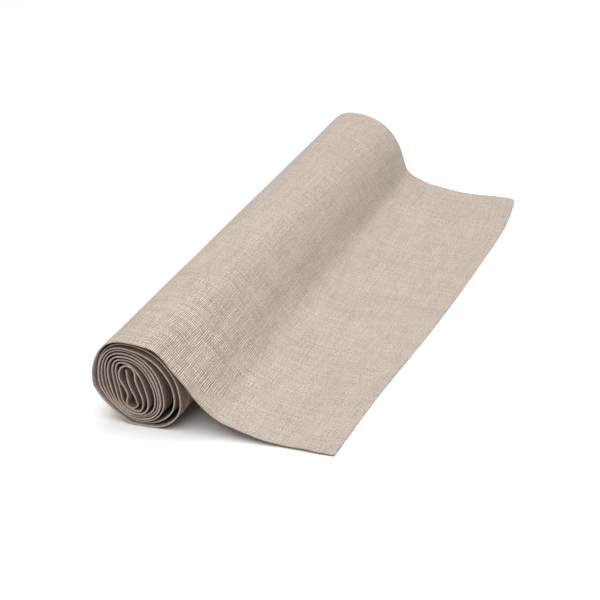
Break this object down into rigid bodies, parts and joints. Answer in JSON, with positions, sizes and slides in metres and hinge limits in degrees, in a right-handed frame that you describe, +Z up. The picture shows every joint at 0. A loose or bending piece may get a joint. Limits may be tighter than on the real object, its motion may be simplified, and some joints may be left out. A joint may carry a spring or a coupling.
{
  "type": "table runner",
  "caption": "Hemmed plain-weave linen table runner, rolled up from one short end, with its last stretch lying out flat as a loose flap that lifts.",
  "frame": {"origin": "on the table, on the line where the roll touches it, half way along the roll", "axes": "+Y along the roll, across the cloth; +X the way the loose flap runs out of the roll; +Z up from the table"},
  "size_m": [0.1837, 0.4, 0.0728],
  "materials": {
    "linen": "natural undyed plain-weave linen, matt, with slubs",
    "folded_hem": "the same linen turned twice and pressed",
    "sewing_thread": "spun sewing thread in the cloth's own colour"
  },
  "bodies": {
    "roll": {"roll_panel": "linen", "slope_panel": "linen", "near_side_hem_roll": "folded_hem", "near_side_hem_slope": "folded_hem", "far_side_hem_roll": "folded_hem", "far_side_hem_slope": "folded_hem", "inner_end_hem": "folded_hem", "near_side_stitching_roll": "sewing_thread", "far_side_stitching_roll": "sewing_thread", "inner_end_stitching": "sewing_thread"},
    "flap": {"flap_panel": "linen", "near_side_hem_flap": "folded_hem", "far_side_hem_flap": "folded_hem", "outer_end_hem": "folded_hem", "near_side_stitching_flap": "sewing_thread", "far_side_stitching_flap": "sewing_thread", "outer_end_stitching": "sewing_thread"}
  },
  "joints": [
    {"name": "flap_lift", "type": "hinge", "parent": "roll", "child": "flap", "pos_m": [0.0548, 0, 0.01795], "axis": [0.024, -0.9996, -0.0127], "range_deg": [0, 75]}
  ]
}
